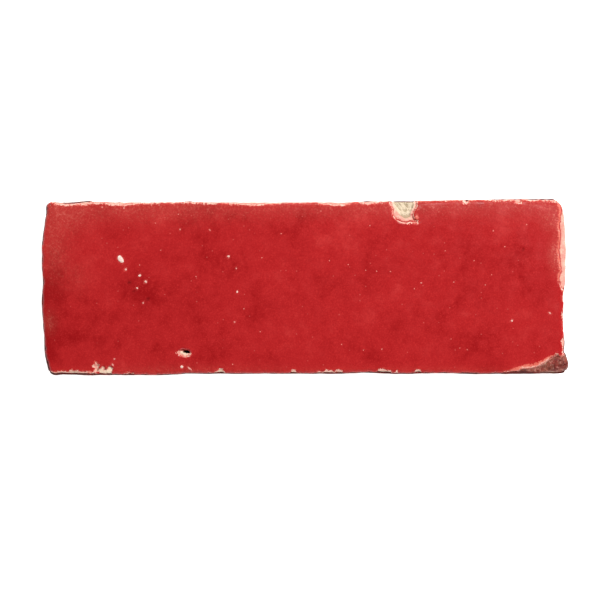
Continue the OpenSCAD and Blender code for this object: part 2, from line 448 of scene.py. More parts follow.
def break_plane():
    """A point and the normal of the broken corner's slope, from the CAD film that lies on it."""
    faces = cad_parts["corner_glaze"].data.polygons
    slopes = [f for f in faces if 0.3 < f.normal.z < 0.95]
    lowest = max(slopes, key=lambda f: f.area)
    return np.array(lowest.center), np.array(lowest.normal)


def cushion(inset):
    """How far the face falls away towards its edges, as a coat sags while it melts."""
    return 0.28 * MM * np.exp(-inset / (3.5 * MM)) + 0.1 * MM * np.exp(-inset / (10 * MM))


def waves(points):
    """The slow swell of a face smoothed by hand."""
    swell = 0.09 * noise(points, 34 * MM, 21) + 0.05 * noise(points, 14 * MM, 22)
    return MM * (swell + 0.018 * noise(points, 6 * MM, 23))


def smooth_body():
    """The body's surface without its damage and roughness: points for the whole grid."""
    place, normal = break_plane()
    offset = (GRID.plan - place[:2]) @ normal[:2] / normal[2]
    crags = 0.22 * rough(PLAN3, 2.4 * MM, 31) + 0.15 * noise(PLAN3, 0.8 * MM, 33)
    slope = place[2] - offset + MM * crags
    top = BODY_TOP - cushion(GRID.inset) + waves(PLAN3)
    height = np.minimum(top, slope)
    points = np.column_stack([GRID.plan, height])
    count = len(GRID.columns)
    rows = len(GRID.drop)
    rings = slice(GRID.ring_start, GRID.base_start)
    ring_height = height[rings].reshape(GRID.rings, count)
    arris_low = ring_height[ARRIS_RINGS - 1] - ARRIS
    out = np.empty((GRID.rings, count))
    out[:rows] = ring_height[:rows] - GRID.drop[:, None]
    side = slice(ARRIS_RINGS, rows)
    shares = GRID.share[side, None]
    out[side] = arris_low * (1 - shares) + FOOT * shares
    out[rows:] = GRID.foot_heights[:, None]
    points[rings, 2] = out.ravel()
    points[GRID.base_start:, 2] = 0
    return points


def distance_down(points):
    """Distance along the surface down from where the arris starts."""
    down = ARRIS - GRID.inset
    count = len(GRID.columns)
    rings = slice(GRID.ring_start, GRID.base_start)
    heights = points[rings, 2].reshape(GRID.rings, count)
    out = np.empty_like(heights)
    out[:ARRIS_RINGS] = (ARRIS * GRID.turns)[:, None]
    low = heights[ARRIS_RINGS - 1]
    out[ARRIS_RINGS:] = ARRIS * math.pi / 2 + low - heights[ARRIS_RINGS:]
    down[rings] = out.ravel()
    down[GRID.base_start:] = 2 * BODY_TOP
    return down


def damage_depth():
    """How deep the CAD body is hollowed under each point of the cap: the chip and the pit."""
    depth = np.zeros(len(GRID.plan))
    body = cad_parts["clay_biscuit"]
    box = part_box("corner_glaze")
    for index in GRID.on_cap:
        x, y = GRID.plan[index]
        if x > box[0].x - MM and y < box[1].y + MM:
            continue
        hit, place, _, _ = body.ray_cast(Vector((x, y, 2 * BODY_TOP)), Vector((0, 0, -1)))
        if hit:
            depth[index] = BODY_TOP - place.z
    edge = GRID.cap_edge()
    rings = slice(GRID.ring_start, GRID.base_start)
    fade = np.clip(1 - GRID_DOWN[rings] / (2.5 * MM), 0, 1)
    depth[rings] = depth[edge][GRID.column_of] * fade
    return depth


BODY = smooth_body()
NORMALS = vertex_normals(BODY, GRID.quads)
GRID_DOWN = distance_down(BODY)
DAMAGE = damage_depth()
PIT_PLACE = GRID.plan[DAMAGE > MM].mean(axis=0)


# ---------------------------------------------------------------- where each coat lies


# The patch at the left of the front edge is flaked and not broken out: how far in from the edge it
# reaches, and how many times as ragged its rim is
FLAKED_WIDTH = 4.5 * MM
FLAKED_RAGGED = 3.5


def loss_field(segments, damage, ragged):
    """Distance in plan from a coat's damage, more than zero where the coat is whole.
    Below the arris each column takes what is true just inside the rim."""
    swollen = closest(GRID.columns, BODY_RIM)
    known = GRID.column >= 0
    column = GRID.column[known]
    plan = GRID.plan.copy()
    shift = np.maximum(swollen[column] + 0.3 * MM - GRID.inset[known], 0)
    plan[known] -= shift[:, None] * GRID.out[column]
    top = GRID_DOWN < 3 * MM
    field = np.full(len(plan), -MM)
    points = plan[top]
    bite = ragged * (rough(flat(points), 1.6 * MM, 41) + 0.8 * noise(flat(points), 0.6 * MM, 44))
    flaked = (points[:, 0] < 0) & (points[:, 1] < FLAKED_WIDTH - HALF_WIDTH)
    bite[flaked] *= FLAKED_RAGGED
    away = closest(points, damage)
    field[top] = np.where(within(points, segments), away, -away) + bite * MM
    return field


def by_column(values):
    """A value for each column, given to the points that have one. The other points get 0."""
    out = np.zeros(len(GRID.plan))
    known = GRID.column >= 0
    out[known] = values[GRID.column[known]]
    return out


def round_noise(size, seed):
    """Noise that follows the outline, the same all the way down each column."""
    return by_column(rough(flat(GRID.columns), size, seed))


def per_side(values):
    """One of four values, by side: front, right, back, left."""
    return by_column(np.array(values)[GRID.side_of])


# How wide the rim looks from above that is bare of red glaze, by side:
# place along the side from -1 to 1, width in mm
BARE_FRONT = (
    (-0.96, 0.75), (-0.8, 0.7), (-0.75, 0.45), (-0.69, 0.45), (-0.665, 0.7), (-0.64, 0.45),
    (-0.35, 0.45), (-0.32, 0.85), (-0.29, 0.45), (-0.06, 0.45), (-0.045, 0.85), (-0.025, 0.45),
    (0.035, 0.45), (0.053, 0.75), (0.07, 0.5), (0.09, 0.8), (0.115, 0.65), (0.135, 0.85),
    (0.15, 0.45), (0.27, 0.45), (0.29, 0.95), (0.32, 0.85), (0.335, 0.5), (0.35, 0.7),
    (0.37, 0.45), (0.41, 0.45), (0.43, 0.8), (0.45, 0.45), (0.74, 0.5), (0.79, 0.9), (0.84, 1.3),
)
BARE_BACK = (
    (-0.96, 0.5), (-0.9, 0.7), (-0.83, 0.85), (-0.8, 0.7), (-0.65, 0.8), (-0.62, 0.4), (-0.5, 0.4),
    (-0.32, 0.35), (-0.29, 0.6), (-0.2, 0.9), (-0.1, 0.6), (-0.02, 0.3), (0.04, 0.3), (0.09, 0.7),
    (0.15, 0.8), (0.2, 0.3), (0.25, 1.1), (0.29, 0.4), (0.34, 0.2), (0.68, 0.2), (0.72, 0.4),
    (0.92, 0.3), (0.955, 0.7),
)
BARE_LEFT = ((-0.9, 0.6), (-0.5, 0.45), (0.2, 0.4), (0.5, 0.4), (0.9, 0.7))
BARE_RIGHT = (
    (-0.8, 0.5), (-0.62, 0.9), (-0.5, 0.35), (-0.1, 0.35), (0.03, 0.5), (0.7, 0.6), (0.85, 1.0),
)
# How much of the dark glaze of the sides shows from above, in the same way
DARK_FRONT = (
    (-0.9, 0.5), (-0.8, 0.65), (-0.7, 0.45), (0.1, 0.4), (0.4, 0.55), (0.73, 0.5), (0.78, 0.8),
    (0.83, 1.05), (0.87, 0.4),
)
DARK_RIGHT = ((0.6, 0.2), (0.75, 0))
DARK_BACK = (
    (-0.93, 0), (-0.9, 0.22), (-0.82, 0.22), (-0.79, 0), (0.3, 0), (0.36, 0.2), (0.93, 0.2),
    (0.96, 0),
)
DARK_LEFT = ((0, 0.6),)


def rim_width(*tables):
    """A width for each point that has a column, from one table for each side."""
    width = np.zeros(len(GRID.columns))
    for side, table in enumerate(tables):
        axis, half = (0, HALF_LENGTH) if side in (FRONT, BACK) else (1, HALF_WIDTH)
        mine = GRID.side_of == side
        places, widths = zip(*table)
        width[mine] = MM * np.interp(GRID.columns[mine, axis] / half, places, widths)
    return by_column(width)


def rim_line(width):
    """The distance down to a line round the rim with this width of rim outside it, from above."""
    dark_reach = ARRIS + DARK_RISE
    red_reach = ARRIS + SLIP_DEPTH
    turn = np.arcsin(np.clip((dark_reach - width) / red_reach, 0, 1))
    return ARRIS * turn - np.maximum(width - dark_reach, 0)


# By side, in the order front, right, back, left: how much the rim of the red wanders
WANDER = (0.12, 0.2, 0.22, 0.2)
# By side: how much of the dark glaze's top a chip in the rim takes with it
TOP_LOST = (0, 0.5, 1.2, 0)

RAGGED = MM * (
    per_side(WANDER) * round_noise(3.5 * MM, 51)
    + 0.25 * round_noise(1.2 * MM, 54)
    + 0.1 * round_noise(0.6 * MM, 59)
)
DARK_NOISE = MM * (0.12 * round_noise(3 * MM, 57) + 0.1 * round_noise(0.9 * MM, 58))
DARK_RIM = rim_width(DARK_FRONT, DARK_RIGHT, DARK_BACK, DARK_LEFT) + DARK_NOISE
DARK_LINE = rim_line(DARK_RIM)
BARE_RIM = rim_width(BARE_FRONT, BARE_RIGHT, BARE_BACK, BARE_LEFT)
GLAZE_END = rim_line(BARE_RIM) + RAGGED
# Along the front the red reaches the dark glaze wherever the rim is not chipped
WHOLE_FRONT = per_side((1, 0, 0, 0)) * smooth_step(BARE_RIM - 0.6 * RAGGED, 0.7 * MM, 0.5 * MM)
GLAZE_END += WHOLE_FRONT * np.maximum(DARK_LINE - GLAZE_END, 0)

GLAZE_LOSS = loss_field(GLAZE_RIM, GLAZE_DAMAGE, 0.2)
SLIP_LOSS = loss_field(SLIP_RIM, SLIP_DAMAGE, 0.14)
# Where the dark glaze starts, as a distance down
FILM_START = np.maximum(np.maximum(DARK_LINE, GLAZE_END + 0.02 * MM), 0.1 * MM)
FILM_START += per_side(TOP_LOST) * np.clip(-GLAZE_LOSS, 0, MM)
# How far the slip runs on under the dark glaze
SLIP_UNDER = 0.15 * MM


def above(line):
    """Distance up from a line round the rim, and far for points that are not near the rim."""
    return np.where(GRID.column >= 0, line - GRID_DOWN, HALF_WIDTH)


GLAZE_FIELD = np.minimum(GLAZE_LOSS, above(GLAZE_END))
SLIP_FIELD = np.minimum(SLIP_LOSS, above(FILM_START + SLIP_UNDER))


# ---------------------------------------------------------------- making meshes


def add_mesh(name, points, face_groups, marks, material, node):
    """A smooth-shaded piece that stands for a CAD node, from groups of faces with equal corners."""
    mesh = bpy.data.meshes.new(name)
    corners = np.concatenate([g.ravel() for g in face_groups]).astype(np.int32)
    sizes = np.concatenate([np.full(len(g), g.shape[1]) for g in face_groups]).astype(np.int32)
    mesh.vertices.add(len(points))
    mesh.vertices.foreach_set("co", points.astype(np.float32).ravel())
    mesh.loops.add(len(corners))
    mesh.loops.foreach_set("vertex_index", corners)
    mesh.polygons.add(len(sizes))
    starts = np.concatenate([[0], np.cumsum(sizes)[:-1]]).astype(np.int32)
    mesh.polygons.foreach_set("loop_start", starts)
    mesh.polygons.foreach_set("use_smooth", np.ones(len(sizes), bool))
    for mark, values in marks.items():
        attribute = mesh.attributes.new(mark, "FLOAT", "POINT")
        attribute.data.foreach_set("value", values.astype(np.float32))
    mesh.update()
    mesh.validate()
    mesh.materials.append(material)
    piece = bpy.data.objects.new(name, mesh)
    bpy.context.scene.collection.objects.link(piece)
    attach(piece, "root")
    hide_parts(node)
    return piece


def face_edges(groups):
    """Every edge of every face, in the direction that its face goes round."""
    return np.vstack([g[:, [i, (i + 1) % g.shape[1]]] for g in groups for i in range(g.shape[1])])


def snap(quads, field, columns):
    """Moves points next to the field's zero line onto it, and says which side each is on."""
    edges = np.unique(np.sort(face_edges([quads]), axis=1), axis=0)
    a, b = edges[(field[edges[:, 0]] > 0) != (field[edges[:, 1]] > 0)].T
    share = field[a] / (field[a] - field[b])
    mover = np.where(share < 0.5, a, b)
    target = np.where(share < 0.5, b, a)
    share = np.where(share < 0.5, share, 1 - share)
    way = share * np.linalg.norm(columns[a, :3] - columns[b, :3], axis=1)
    order = np.argsort(-way, kind="stable")
    mover, target, share = mover[order], target[order], share[order]
    moves = dict(zip(mover.tolist(), range(len(mover))))
    last = np.array(sorted(moves.values()), int)
    moved = columns.copy()
    m, t, s = mover[last], target[last], share[last, None]
    moved[m] = columns[m] * (1 - s) + columns[t] * s
    level = np.sign(field)
    level[m] = 0
    return moved, level


def kept_faces(quads, level):
    """The faces inside the zero line: whole quads, and the halves of those that it cuts."""
    signs = level[quads]
    whole = quads[(signs >= 0).all(axis=1) & (signs > 0).any(axis=1)]
    cut = (signs < 0).sum(axis=1) == 1
    halves = []
    for i in range(4):
        rest = [(i + 1) % 4, (i + 2) % 4, (i + 3) % 4]
        chosen = cut & (signs[:, i] < 0) & (signs[:, rest] > 0).any(axis=1)
        halves.append(quads[chosen][:, rest])
    return whole, np.vstack(halves)


def drop_islands(groups, count, least):
    """Leaves out patches of fewer than least points."""
    edges = face_edges(groups)
    label = np.arange(count)
    while True:
        low = np.minimum(label[edges[:, 0]], label[edges[:, 1]])
        new = label.copy()
        np.minimum.at(new, edges[:, 0], low)
        np.minimum.at(new, edges[:, 1], low)
        new = new[new]
        if (new == label).all():
            break
        label = new
    used = np.unique(edges)
    sizes = np.bincount(label[used], minlength=count)
    return [g[sizes[label[g[:, 0]]] >= least] for g in groups]


def open_edges(groups, count):
    """The directed edges that only one face has."""
    edges = face_edges(groups)
    codes = edges[:, 0].astype(np.int64) * count + edges[:, 1]
    back = edges[:, 1].astype(np.int64) * count + edges[:, 0]
    return edges[~np.isin(codes, back)]


def add_coat(name, node, material, quads, field, outer, inner, marks, least=14):
    """A closed sheet over the part of the grid where field is above zero."""
    near = (field[quads] > -2 * MM).any(axis=1)
    quads = quads[near]
    columns = np.column_stack([outer, inner] + list(marks.values()))
    columns, level = snap(quads, field, columns)
    count = len(columns)
    groups = drop_islands(kept_faces(quads, level), count, least)
    walls = open_edges(groups, count)
    a, b = walls[:, 0], walls[:, 1]
    faces = list(groups) + [g[:, ::-1] + count for g in groups]
    faces.append(np.column_stack([b, a, a + count, b + count]))
    used, index = np.unique(np.concatenate([f.ravel() for f in faces]), return_inverse=True)
    index = index.ravel()
    packed, start = [], 0
    for f in faces:
        packed.append(index[start:start + f.size].reshape(f.shape))
        start += f.size
    points = np.vstack([columns[:, :3], columns[:, 3:6]])[used]
    shared = {m: np.tile(columns[:, 6 + i], 2)[used] for i, m in enumerate(marks)}
    return add_mesh(name, points, packed, shared, material, node)


# ---------------------------------------------------------------- materials


class Paint:
    """Adds and links the nodes of one material."""

    def __init__(self, name):
        self.material = bpy.data.materials.new(name)
        self.material.use_nodes = True
        self.tree = self.material.node_tree
        self.shader = self.tree.nodes["Principled BSDF"]
        self.place = self.node("ShaderNodeTexCoord").outputs["Object"]
        self.colour = None

    def node(self, kind, inputs=None, **settings):
        node = self.tree.nodes.new(kind)
        for key, value in settings.items():
            setattr(node, key, value)
        for key, value in (inputs or {}).items():
            self.feed(node.inputs[key], value)
        return node

    def feed(self, socket, value):
        if isinstance(value, bpy.types.NodeSocket):
            self.tree.links.new(value, socket)
        elif isinstance(value, tuple) and len(value) == 3 and socket.type == "RGBA":
            socket.default_value = (*value, 1)
        else:
            socket.default_value = value

    def mark(self, name):
        return self.node("ShaderNodeAttribute", attribute_name=name).outputs["Fac"]

    def cloud(self, size, detail=3.0, seed=0.0, rough=0.5, stretch=None, turn=0.0):
        """Noise from 0 to 1 that varies over about size metres, times stretch along x, y and z.
        The stretched axes are turned by turn degrees about z."""
        place = self.place
        if stretch:
            place = self.node(
                "ShaderNodeMapping",
                {"Vector": place, "Rotation": (0.0, 0.0, math.radians(turn)), "Scale": stretch},
                vector_type="TEXTURE",
            ).outputs["Vector"]
        texture = self.node(
            "ShaderNodeTexNoise",
            {"Vector": place, "W": seed, "Scale": 1 / size, "Detail": detail, "Roughness": rough},
            noise_dimensions="4D",
        )
        return texture.outputs["Fac"]

    def dots(self, size, radius, chance, seed=0.0):
        """Scattered soft dots: size is their spacing, radius a share of it, chance from 0 to 1."""
        texture = self.node(
            "ShaderNodeTexVoronoi",
            {"Vector": self.place, "Scale": 1 / size},
            voronoi_dimensions="3D",
        )
        pick = self.node("ShaderNodeSeparateColor", {"Color": texture.outputs["Color"]}).outputs[0]
        drawn = self.math("LESS_THAN", self.math("FRACT", self.math("ADD", pick, seed / 7)), chance)
        dot = self.fit(texture.outputs["Distance"], radius, radius / 2)
        return self.scaled(dot, drawn)

    def math(self, operation, a, b=0.0):
        node = self.node("ShaderNodeMath", {0: a, 1: b}, operation=operation)
        return node.outputs[0]

    def sum(self, first, *rest):
        total = first
        for value in rest:
            total = self.math("ADD", total, value)
        return total

    def scaled(self, value, by):
        return self.math("MULTIPLY", value, by)

    def centred(self, cloud, strength):
        """A cloud as a change up or down."""
        return self.scaled(self.math("SUBTRACT", cloud, 0.5), strength)

    def fit(self, value, low, high, to_low=0.0, to_high=1.0):
        """Value from low to high, as a smooth step from to_low to to_high."""
        node = self.node(
            "ShaderNodeMapRange",
            {"Value": value, "From Min": low, "From Max": high, "To Min": to_low, "To Max": to_high},
            interpolation_type="SMOOTHSTEP",
        )
        return node.outputs["Result"]

    def blend(self, share, a, b):
        node = self.node("ShaderNodeMix", data_type="RGBA", blend_type="MIX")
        self.feed(node.inputs[0], share)
        self.feed(node.inputs[6], a)
        self.feed(node.inputs[7], b)
        return node.outputs[2]

    def over(self, share, colour):
        """Lays a colour over the paint, as strongly as share says."""
        self.colour = self.blend(share, self.colour, colour)

    def bump(self, height, distance, strength=1.0, under=None):
        inputs = {"Height": height, "Distance": distance, "Strength": strength}
        if under is not None:
            inputs["Normal"] = under
        return self.node("ShaderNodeBump", inputs).outputs["Normal"]

    def finish(self, **inputs):
        self.feed(self.shader.inputs["Base Color"], self.colour)
        for key, value in inputs.items():
            self.feed(self.shader.inputs[key.replace("_", " ")], value)
        return self.material


def red_glaze():
    paint = Paint("red_glaze")
    pool = paint.cloud(11 * MM, 4, 1.0, 0.55)
    swirl = paint.cloud(3.2 * MM, 3, 2.0, 0.6)
    fine = paint.cloud(0.7 * MM, 4, 3.0, 0.65)
    # Tone that varies at random, with painted shade darkening the left end of the face
    tone_and_shade = paint.sum(paint.mark("tone_and_shade"), paint.centred(pool, 2.4), paint.centred(swirl, 1.7),
                     paint.centred(fine, 0.9))
    paint.colour = paint.blend(paint.fit(tone_and_shade, -1.1, 0.1), (0.32, 0.006, 0.008), (0.46, 0.016, 0.018))
    paint.over(paint.fit(tone_and_shade, 0.0, 1.1), (0.57, 0.034, 0.033))
    curd = paint.cloud(0.4 * MM, 3, 8.0, 0.7)
    paint.over(paint.fit(curd, 0.5, 0.7, 0.0, 0.45), (0.3, 0.008, 0.009))
    paint.over(paint.fit(curd, 0.5, 0.3, 0.0, 0.35), (0.72, 0.045, 0.04))
    # Halos round the grains, and painted shade that darkens the dimples
    paint.over(paint.mark("halo"), (0.7, 0.12, 0.1))
    paint.over(paint.mark("dimple_shade"), (0.12, 0.004, 0.004))
    # Pale specks
    speck = paint.dots(1.5 * MM, 0.17, 0.16, 4.0)
    paint.over(paint.scaled(speck, 0.25), (0.8, 0.2, 0.17))
    # A worn haze of short scuffs that lie two ways, and a painted sheen along the front and back edges
    one_way = paint.cloud(0.7 * MM, 4, 5.0, 0.65, (2.2, 1.0, 1.0), 60)
    other_way = paint.cloud(0.6 * MM, 4, 7.0, 0.65, (2.2, 1.0, 1.0), -35)
    scuff = paint.fit(paint.math("MAXIMUM", one_way, other_way), 0.5, 0.72, 0.4, 1.3)
    fleck = paint.fit(paint.cloud(0.55 * MM, 3, 10.0, 0.7), 0.54, 0.66)
    haze_and_sheen = paint.scaled(paint.mark("haze_and_sheen"), paint.sum(scuff, fleck))
    paint.over(paint.scaled(haze_and_sheen, 0.34), (0.84, 0.25, 0.18))
    # Thin glaze along its rims lets the pale slip through, in places only, and bits of it are gone
    chips = paint.cloud(0.5 * MM, 4, 9.0, 0.75)
    edge = paint.sum(paint.mark("edge"), paint.centred(chips, 0.8), paint.centred(swirl, 0.3))
    grime = paint.scaled(paint.fit(paint.mark("rim"), 0.3, 0.05), paint.fit(fine, 0.5, 0.62))
    paint.over(paint.scaled(grime, 0.5), (0.17, 0.016, 0.015))
    patchy = paint.fit(swirl, 0.38, 0.62, 0.2, 0.85)
    paint.over(paint.scaled(paint.fit(edge, 0.2, 0.07), patchy), (0.74, 0.1, 0.07))
    paint.over(paint.fit(edge, 0.09, 0.04), (0.9, 0.56, 0.45))
    # Beside the strip lost from the right edge the broken glaze has a dark line of painted shade
    paint.over(paint.mark("shade"), (0.22, 0.01, 0.01))
    thin = paint.sum(paint.mark("thin"), paint.centred(chips, 1.5))
    paint.over(paint.fit(thin, 0.5, 0.7), (0.76, 0.16, 0.115))
    paint.over(paint.fit(thin, 0.85, 1.0), (0.9, 0.5, 0.4))
    roughness = paint.sum(paint.fit(swirl, 0.3, 0.8, 0.14, 0.22), paint.scaled(haze_and_sheen, 0.1),
                          paint.fit(paint.mark("rim"), 0.3, 0.1, 0.0, 0.2))
    # The rims are dulled by wear
    shine = paint.math("MINIMUM", paint.fit(paint.mark("rim"), 0.2, 0.6, 0.08, 0.5),
                       paint.fit(paint.mark("edge"), 0.1, 0.35, 0.1, 0.5))
    peel = paint.bump(paint.cloud(1.6 * MM, 2, 6.0), 0.02 * MM, 0.5)
    grain = paint.bump(fine, 0.008 * MM, 0.5, peel)
    broken = paint.scaled(chips, paint.fit(paint.mark("edge"), 0.4, 0.1))
    normal = paint.bump(broken, 0.15 * MM, 0.8, grain)
    return paint.finish(Roughness=roughness, Specular_IOR_Level=shine, Normal=normal)


def pale_slip():
    paint = Paint("pale_slip")
    streaks = paint.cloud(0.4 * MM, 4, 11.0, 0.6, (4.0, 1.0, 1.0), -50)
    patches = paint.cloud(2.4 * MM, 3, 12.0)
    fine = paint.cloud(0.35 * MM, 4, 14.0, 0.65)
    paint.colour = paint.blend(paint.fit(patches, 0.35, 0.65), (0.89, 0.67, 0.49), (0.8, 0.56, 0.4))
    paint.over(paint.fit(streaks, 0.35, 0.7), (0.93, 0.75, 0.58))
    # Red glaze that stays on the slip near where it broke away
    film = paint.sum(paint.mark("stain"), paint.centred(fine, 1.8), paint.centred(patches, 1.2))
    paint.over(paint.fit(film, 0.1, 0.8, 0.0, 0.8), (0.8, 0.27, 0.23))
    paint.over(paint.fit(film, 0.9, 1.2), (0.5, 0.04, 0.035))
    dirt = paint.fit(paint.cloud(0.8 * MM, 4, 13.0, 0.65), 0.6, 0.75, 0.0, 0.3)
    paint.over(dirt, (0.36, 0.13, 0.1))
    under = paint.bump(streaks, 0.1 * MM, 0.9)
    normal = paint.bump(fine, 0.06 * MM, 0.8, under)
    return paint.finish(Roughness=0.75, Normal=normal, Specular_IOR_Level=0.2)


def fired_clay():
    paint = Paint("fired_clay")
    patches = paint.cloud(9 * MM, 4, 21.0, 0.6)
    grit = paint.cloud(0.5 * MM, 5, 22.0, 0.7)
    smear = paint.cloud(2.5 * MM, 4, 23.0, 0.6, (3.5, 3.5, 1.0))
    paint.colour = paint.blend(paint.fit(patches, 0.35, 0.65), (0.52, 0.35, 0.22), (0.63, 0.46, 0.31))
    paint.over(paint.fit(smear, 0.42, 0.68, 0.0, 0.6), (0.74, 0.6, 0.45))
    paint.over(paint.fit(smear, 0.5, 0.3, 0.0, 0.5), (0.42, 0.24, 0.14))
    paint.over(paint.fit(grit, 0.4, 0.75, 0.0, 0.7), (0.4, 0.25, 0.15))
    pale_dots = paint.scaled(paint.dots(2.6 * MM, 0.13, 0.2), 0.7)
    dark_dots = paint.scaled(paint.dots(1.1 * MM, 0.16, 0.2, 2.0), 0.8)
    paint.over(pale_dots, (0.8, 0.68, 0.54))
    paint.over(dark_dots, (0.16, 0.08, 0.05))
    # A fresh break is paler and scored across
    score = paint.cloud(0.3 * MM, 2, 26.0, 0.6, (8.0, 1.0, 1.0), -55)
    fresh = paint.blend(paint.fit(score, 0.4, 0.58), (0.5, 0.38, 0.24), (0.82, 0.68, 0.5))
    paint.over(paint.mark("fresh"), fresh)
    # Painted shade: the bottom of the deep pit is darkened nearly to black
    paint.over(paint.mark("hollow"), (0.06, 0.006, 0.005))
    paint.over(paint.mark("stain"), (0.26, 0.08, 0.055))
    fine = paint.bump(grit, 0.12 * MM, 0.9)
    wide = paint.bump(paint.sum(paint.cloud(1.8 * MM, 4, 25.0, 0.6), paint.scaled(smear, 0.6)),
                      0.25 * MM, 0.6, fine)
    normal = paint.bump(paint.scaled(score, paint.mark("fresh")), 0.25 * MM, 0.9, wide)
    return paint.finish(Roughness=0.9, Normal=normal, Specular_IOR_Level=0.2)


def dark_glaze(name, thin, thick, relief, dull):
    """The glaze that lies straight on clay. Dull, from 0 to 1, makes it rougher and adds pale painted
    glints.
    """
    paint = Paint(name)
    patches = paint.cloud((1.3 - 0.4 * dull) * MM, 4, 31.0, 0.65)
    fine = paint.cloud(0.4 * MM, 4, 35.0, 0.65)
    run = paint.cloud(2.2 * MM, 3, 32.0, 0.5, (1.0, 1.0, 3.5))
    paint.colour = paint.blend(paint.fit(patches, 0.35, 0.68), thick, thin)
    paint.over(paint.fit(run, 0.48, 0.72, 0.0, 0.6), (0.3, 0.016, 0.013))
    bare = paint.fit(paint.cloud(0.9 * MM, 4, 33.0, 0.7), 0.68, 0.74, 0.0, 0.7)
    paint.over(bare, (0.5, 0.26, 0.16))
    foot = paint.scaled(paint.fit(paint.mark("edge"), 0.3, 0.02), paint.mark("foot"))
    paint.over(paint.scaled(foot, 0.6), (0.42, 0.13, 0.08))
    paint.over(paint.fit(fine, 0.35, 0.6, 0.6, 0.0), (0.02, 0.002, 0.002))
    # Pale painted glints, where light catches the rough surface; there are none where dull is 0
    painted_glints = paint.fit(paint.cloud(0.8 * MM, 4, 36.0, 0.6), 0.48, 0.7, 0.0, dull)
    paint.over(painted_glints, (0.62, 0.29, 0.23))
    shine = paint.fit(patches, 0.3, 0.7, 0.16 + 0.25 * dull, 0.42 + 0.25 * dull)
    # The first millimetre under the rim is crusted and dull
    roughness = paint.sum(shine, paint.fit(paint.mark("foot"), 0.8, 0.0, 0.0, 0.25))
    under = paint.bump(paint.cloud(0.7 * MM, 4, 34.0, 0.6), relief, 0.7)
    normal = paint.bump(fine, 0.3 * relief, 0.7, under)
    return paint.finish(
        Roughness=roughness, Normal=normal, Specular_IOR_Level=0.22 - 0.1 * dull
    )


def lime():
    paint = Paint("lime_grain")
    patches = paint.cloud(0.4 * MM, 4, 41.0, 0.6)
    pink = paint.blend(paint.fit(patches, 0.35, 0.65), (0.78, 0.27, 0.22), (0.68, 0.12, 0.1))
    white = paint.blend(paint.fit(patches, 0.35, 0.65), (0.95, 0.82, 0.72), (0.85, 0.52, 0.43))
    paint.colour = paint.blend(paint.mark("core"), pink, white)
    normal = paint.bump(paint.cloud(0.15 * MM, 3, 42.0), 0.05 * MM, 0.8)
    return paint.finish(Roughness=0.65, Normal=normal)


# ---------------------------------------------------------------- the pieces

# Soft tone patches in the glaze; the dark ones at the left end are painted shade that darkens the face
# towards its left edge. Place as shares of half the tile, radius in mm, tone
TONES_AND_SHADE = (
    (-0.97, -0.6, 9, -0.95), (-0.97, 0.05, 8, -0.7), (-0.68, 0.05, 7, -0.6), (-0.6, -0.1, 6, -0.4),
    (-0.25, 0.33, 7, -0.35), (-0.22, -0.15, 7, -0.35), (-0.05, 0.6, 6, -0.3), (-0.42, 0.68, 6, -0.3),
    (-0.72, 0.66, 6, -0.3), (0.25, -0.7, 7, -0.3), (0.55, -0.47, 8, -0.35), (0.83, 0.13, 6, -0.45),
    (0.56, 0.5, 7, -0.3), (0.66, -0.7, 7, -0.3), (0.14, 0.73, 6, 0.35), (0.39, 0.58, 6, 0.3),
    (-0.63, 0.39, 7, 0.3), (-0.23, 0.47, 5, 0.25), (-0.57, 0.77, 6, 0.3), (0.9, 0.8, 8, 0.5),
    (0.75, -0.4, 8, 0.3),
)
# Small dimples, darkened as painted shade: place as shares of half the tile, radius in mm
DIMPLES = ((-0.665, 0.052, 0.5), (-0.647, -0.044, 0.35), (-0.595, -0.136, 0.45), (0.83, 0.43, 0.3))
# Where the gloss is worn to a haze; the long narrow patches along the front and back edges are painted
# sheen of light caught by the edges. Place as shares of half the tile, radii in mm, strength
WORN_AND_SHEEN = (
    (-0.93, 0.85, 8, 6, 0.45), (-0.95, 0.4, 4, 8, 0.45), (-0.6, 0.9, 22, 4, 0.3),
    (-0.86, 0.1, 3, 4, 0.2), (-0.97, -0.4, 2, 3, 0.5),
    (0.955, 0.35, 2, 4, 0.9), (0.93, 0.76, 2.5, 3, 0.5), (0.96, 0.7, 1.5, 6, 0.4),
    (-0.45, -0.97, 25, 2, 0.3), (0.4, -0.97, 40, 1.5, 0.25), (0.1, 0.93, 90, 3.5, 0.35),
    (0.5, 0.97, 50, 3, 0.25),
)
# Where the glaze is so thin that it has flaked: place, radii and strength in the same way
THIN = (
    (0.427, 0.8, 0.9, 1.3, 0.75), (-0.818, -0.965, 1.2, 0.7, 0.75), (-0.775, -0.9, 1.2, 1.2, 0.5),
    (0.975, -0.64, 0.7, 1.2, 0.6), (-0.48, -0.77, 0.5, 0.4, 0.5), (0.62, -0.97, 4, 0.5, 0.4),
)
# Where red stays on the slip, round the chip and at the foot of the worn right edge
SLIP_STAIN = ((0.37, 0.8, 3, 4, 0.5), (0.41, 0.75, 2.5, 2, 0.3), (0.995, 0.08, 0.9, 2.4, 0.5))


def blobs(table):
    """The sum of soft round patches over the plan."""
    total = np.zeros(len(GRID.plan))
    for x, y, *radii, strength in table:
        away = (GRID.plan - (x * HALF_LENGTH, y * HALF_WIDTH)) / (np.array(radii) * MM)
        total += strength * np.exp(-(away * away).sum(axis=1))
    return total


